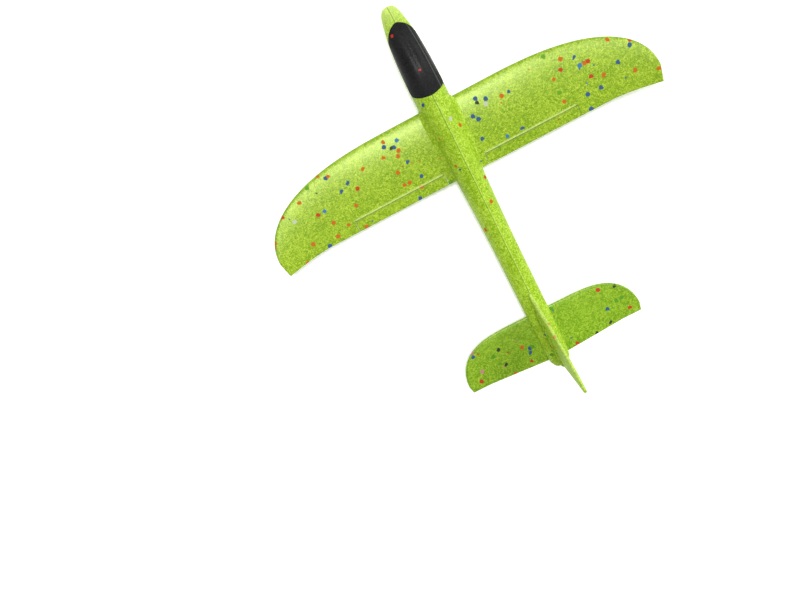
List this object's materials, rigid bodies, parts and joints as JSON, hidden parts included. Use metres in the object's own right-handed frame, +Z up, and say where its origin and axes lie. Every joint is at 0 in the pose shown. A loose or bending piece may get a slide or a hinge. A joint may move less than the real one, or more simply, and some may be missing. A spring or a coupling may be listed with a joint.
{
  "type": "toy airplane",
  "caption": "Hand-launched toy glider in moulded bead foam: long slim fuselage with a black canopy, curved wing through the body, low tailplane, swept fin and bendable trim strips.",
  "frame": {"origin": "under the middle of the glider's length, on the centre plane, at the height of the flat of the belly", "axes": "-Y to the nose, +Z up, +X to the glider's own left"},
  "size_m": [0.4798, 0.461, 0.1318],
  "materials": {
    "lime_foam": "lime green expanded bead foam, matt, with fine bead mottling and a scatter of coloured beads",
    "black_foam": "black moulded foam skin, satin, with a few red beads",
    "ballast_steel": "plain turned steel"
  },
  "bodies": {
    "airframe": {"fuselage_left_half": "lime_foam", "fuselage_right_half": "lime_foam", "canopy": "black_foam", "nose_weight": "ballast_steel", "main_wing": "lime_foam", "tail_fin": "lime_foam"},
    "left_aileron": {"left_aileron": "lime_foam"},
    "right_aileron": {"right_aileron": "lime_foam"},
    "tailplane": {"tailplane": "lime_foam"}
  },
  "joints": [
    {"name": "left_aileron_hinge", "type": "hinge", "parent": "airframe", "child": "left_aileron", "pos_m": [0.0835, -0.0398, 0.01853], "axis": [0.9998, -0.0017, 0.0212], "range_deg": [-20, 20]},
    {"name": "right_aileron_hinge", "type": "hinge", "parent": "airframe", "child": "right_aileron", "pos_m": [-0.0835, -0.0398, 0.01853], "axis": [0.9998, 0.0017, -0.0212], "range_deg": [-20, 20]},
    {"name": "tailplane_slide", "type": "slide", "parent": "airframe", "child": "tailplane", "axis": [1, 0, 0], "range_m": [-0.13, 0.13]}
  ]
}
